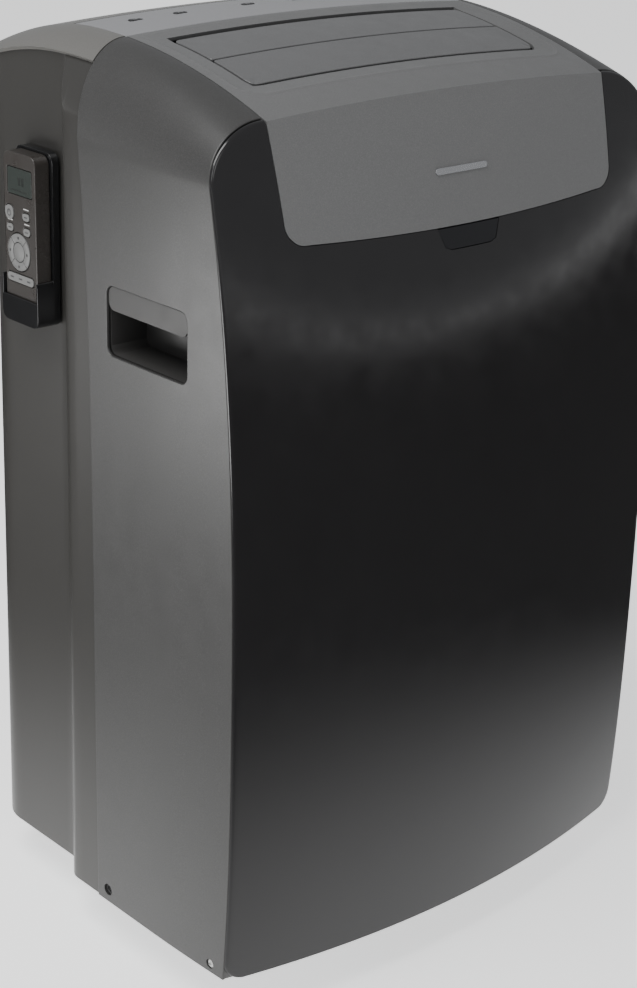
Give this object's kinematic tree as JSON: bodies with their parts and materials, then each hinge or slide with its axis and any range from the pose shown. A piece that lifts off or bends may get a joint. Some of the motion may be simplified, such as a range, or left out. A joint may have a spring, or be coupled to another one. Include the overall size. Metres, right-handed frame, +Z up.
{
  "type": "portable air conditioner",
  "caption": "Upright portable air conditioner on castors with a top outlet behind two linked louvres, side hand pockets, and a remote held in a side holder.",
  "frame": {"origin": "on the floor, under the middle of the whole object", "axes": "+Z up, the front panel faces -Y, +X is to the right for someone facing the front panel"},
  "size_m": [0.465, 0.397, 0.7654],
  "materials": {
    "front_gloss": "high gloss black with a soft upward fade to graphite",
    "side_satin": "satin graphite with a faint metallic fleck",
    "top_grey": "fine moulded grey",
    "deck_grey": "smooth light grey",
    "housing_grey": "semi-matt warm grey, fine texture",
    "dark_window": "gloss near-black, infrared-clear",
    "key_grey": "matt dark grey",
    "inner_plastic": "matt dark grey",
    "filter_mesh": "woven nylon mesh in a frame",
    "black_rubber": "matt black",
    "steel": "plain steel",
    "castor_plastic": "matt black nylon",
    "remote_brown": "satin brown-grey",
    "remote_keys": "satin light grey",
    "remote_screen": "green-grey display",
    "holder_black": "gloss black",
    "works_black": "black paint"
  },
  "bodies": {
    "casing": {"base_pan": "steel", "front_panel": "front_gloss", "left_side_panel": "side_satin", "right_side_panel": "side_satin", "top_cover": "top_grey", "control_deck": "deck_grey", "rear_housing": "housing_grey", "rear_top_cap": "housing_grey", "receiver_window": "dark_window", "outlet_duct": "inner_plastic", "left_handle_cup": "side_satin", "right_handle_cup": "side_satin", "lower_intake_grille": "housing_grey", "exhaust_collar": "housing_grey", "cord_gland": "black_rubber", "remote_holder": "holder_black", "left_front_screw": "steel", "left_rear_screw": "black_rubber", "right_front_screw": "steel", "right_rear_screw": "black_rubber", "compressor": "works_black", "condensate_tray": "inner_plastic", "condenser_coil": "steel", "evaporator_coil": "steel", "control_box": "inner_plastic", "upper_fan_motor": "steel", "lower_fan_motor": "steel", "louvre_motor": "steel"},
    "upper_grille": {"upper_intake_grille": "housing_grey", "upper_filter": "filter_mesh"},
    "upper_plug": {"upper_drain_plug": "black_rubber"},
    "lower_plug": {"lower_drain_plug": "black_rubber"},
    "front_louvre": {"front_louvre": "top_grey"},
    "rear_louvre": {"rear_louvre": "top_grey"},
    "louvre_link": {"louvre_link": "inner_plastic"},
    "upper_blower": {"upper_blower_wheel": "works_black"},
    "lower_blower": {"lower_blower_wheel": "works_black"},
    "remote": {"remote_case": "remote_brown", "remote_screen": "remote_screen"},
    "power_key": {"power_key": "key_grey"},
    "mode_key": {"mode_key": "key_grey"},
    "fan_key": {"fan_key": "key_grey"},
    "timer_key": {"timer_key": "key_grey"},
    "cooler_key": {"cooler_key": "key_grey"},
    "warmer_key": {"warmer_key": "key_grey"},
    "remote_power_key": {"remote_power_key": "remote_keys"},
    "remote_mode_key": {"remote_mode_key": "remote_keys"},
    "remote_swing_key": {"remote_swing_key": "remote_keys"},
    "remote_timer_key": {"remote_timer_key": "remote_keys"},
    "remote_bar_key": {"remote_bar_key": "remote_keys"},
    "remote_ring_key": {"remote_ring_key": "remote_keys"},
    "remote_centre_key": {"remote_centre_key": "remote_keys"},
    "front_left_fork": {"front_left_castor_fork": "castor_plastic"},
    "front_left_wheel": {"front_left_castor_wheel": "castor_plastic"},
    "front_right_fork": {"front_right_castor_fork": "castor_plastic"},
    "front_right_wheel": {"front_right_castor_wheel": "castor_plastic"},
    "rear_left_fork": {"rear_left_castor_fork": "castor_plastic"},
    "rear_left_wheel": {"rear_left_castor_wheel": "castor_plastic"},
    "rear_right_fork": {"rear_right_castor_fork": "castor_plastic"},
    "rear_right_wheel": {"rear_right_castor_wheel": "castor_plastic"}
  },
  "joints": [
    {"name": "front_louvre_tilt", "type": "hinge", "parent": "casing", "child": "front_louvre", "pos_m": [0, -0.04976, 0.73681], "axis": [-1, 0, 0], "range_deg": [0, 50]},
    {"name": "rear_louvre_tilt", "type": "hinge", "parent": "casing", "child": "rear_louvre", "pos_m": [0, -0.002, 0.74536], "axis": [-1, 0, 0], "range_deg": [0, 50]},
    {"name": "louvre_link_swing", "type": "hinge", "parent": "front_louvre", "child": "louvre_link", "pos_m": [-0.1446, -0.04976, 0.71881], "axis": [-1, 0, 0], "range_deg": [-50, 0]},
    {"name": "upper_grille_pull", "type": "slide", "parent": "casing", "child": "upper_grille", "axis": [0, 1, 0], "range_m": [0, 0.06]},
    {"name": "upper_plug_pull", "type": "slide", "parent": "casing", "child": "upper_plug", "axis": [0, 1, 0], "range_m": [0, 0.03]},
    {"name": "lower_plug_pull", "type": "slide", "parent": "casing", "child": "lower_plug", "axis": [0, 1, 0], "range_m": [0, 0.03]},
    {"name": "remote_lift", "type": "slide", "parent": "casing", "child": "remote", "axis": [0, 0, 1], "range_m": [0, 0.12]},
    {"name": "upper_blower_spin", "type": "hinge", "parent": "casing", "child": "upper_blower", "pos_m": [0, 0.12, 0.5305], "axis": [0, 1, 0], "continuous": true},
    {"name": "lower_blower_spin", "type": "hinge", "parent": "casing", "child": "lower_blower", "pos_m": [-0.075, 0.12, 0.1519], "axis": [0, 1, 0], "continuous": true},
    {"name": "power_press", "type": "slide", "parent": "casing", "child": "power_key", "axis": [0, 0, -1], "range_m": [0, 0.001], "stiffness_N_per_m": 300},
    {"name": "mode_press", "type": "slide", "parent": "casing", "child": "mode_key", "axis": [0, 0, -1], "range_m": [0, 0.001], "stiffness_N_per_m": 300},
    {"name": "fan_press", "type": "slide", "parent": "casing", "child": "fan_key", "axis": [0, 0, -1], "range_m": [0, 0.001], "stiffness_N_per_m": 300},
    {"name": "timer_press", "type": "slide", "parent": "casing", "child": "timer_key", "axis": [0, 0, -1], "range_m": [0, 0.001], "stiffness_N_per_m": 300},
    {"name": "cooler_press", "type": "slide", "parent": "casing", "child": "cooler_key", "axis": [0, 0, -1], "range_m": [0, 0.001], "stiffness_N_per_m": 300},
    {"name": "warmer_press", "type": "slide", "parent": "casing", "child": "warmer_key", "axis": [0, 0, -1], "range_m": [0, 0.001], "stiffness_N_per_m": 300},
    {"name": "remote_power_press", "type": "slide", "parent": "remote", "child": "remote_power_key", "axis": [1, 0, 0], "range_m": [0, 0.0006], "stiffness_N_per_m": 300},
    {"name": "remote_mode_press", "type": "slide", "parent": "remote", "child": "remote_mode_key", "axis": [1, 0, 0], "range_m": [0, 0.0006], "stiffness_N_per_m": 300},
    {"name": "remote_swing_press", "type": "slide", "parent": "remote", "child": "remote_swing_key", "axis": [1, 0, 0], "range_m": [0, 0.0006], "stiffness_N_per_m": 300},
    {"name": "remote_timer_press", "type": "slide", "parent": "remote", "child": "remote_timer_key", "axis": [1, 0, 0], "range_m": [0, 0.0006], "stiffness_N_per_m": 300},
    {"name": "remote_bar_press", "type": "slide", "parent": "remote", "child": "remote_bar_key", "axis": [1, 0, 0], "range_m": [0, 0.0006], "stiffness_N_per_m": 300},
    {"name": "remote_ring_press", "type": "slide", "parent": "remote", "child": "remote_ring_key", "axis": [1, 0, 0], "range_m": [0, 0.0006], "stiffness_N_per_m": 300},
    {"name": "remote_centre_press", "type": "slide", "parent": "remote", "child": "remote_centre_key", "axis": [1, 0, 0], "range_m": [0, 0.0006], "stiffness_N_per_m": 300},
    {"name": "front_left_swivel", "type": "hinge", "parent": "casing", "child": "front_left_fork", "pos_m": [-0.115, -0.085, 0.0456], "axis": [0, 0, 1], "continuous": true},
    {"name": "front_left_roll", "type": "hinge", "parent": "front_left_fork", "child": "front_left_wheel", "pos_m": [-0.115, -0.073, 0.019], "axis": [1, 0, 0], "continuous": true},
    {"name": "front_right_swivel", "type": "hinge", "parent": "casing", "child": "front_right_fork", "pos_m": [0.115, -0.085, 0.0456], "axis": [0, 0, 1], "continuous": true},
    {"name": "front_right_roll", "type": "hinge", "parent": "front_right_fork", "child": "front_right_wheel", "pos_m": [0.115, -0.073, 0.019], "axis": [1, 0, 0], "continuous": true},
    {"name": "rear_left_swivel", "type": "hinge", "parent": "casing", "child": "rear_left_fork", "pos_m": [-0.115, 0.095, 0.0456], "axis": [0, 0, 1], "continuous": true},
    {"name": "rear_left_roll", "type": "hinge", "parent": "rear_left_fork", "child": "rear_left_wheel", "pos_m": [-0.115, 0.107, 0.019], "axis": [1, 0, 0], "continuous": true},
    {"name": "rear_right_swivel", "type": "hinge", "parent": "casing", "child": "rear_right_fork", "pos_m": [0.115, 0.095, 0.0456], "axis": [0, 0, 1], "continuous": true},
    {"name": "rear_right_roll", "type": "hinge", "parent": "rear_right_fork", "child": "rear_right_wheel", "pos_m": [0.115, 0.107, 0.019], "axis": [1, 0, 0], "continuous": true}
  ],
  "couplings": [
    {"joint": "rear_louvre_tilt", "follows": "front_louvre_tilt", "ratio": 1},
    {"joint": "louvre_link_swing", "follows": "front_louvre_tilt", "ratio": -1}
  ]
}
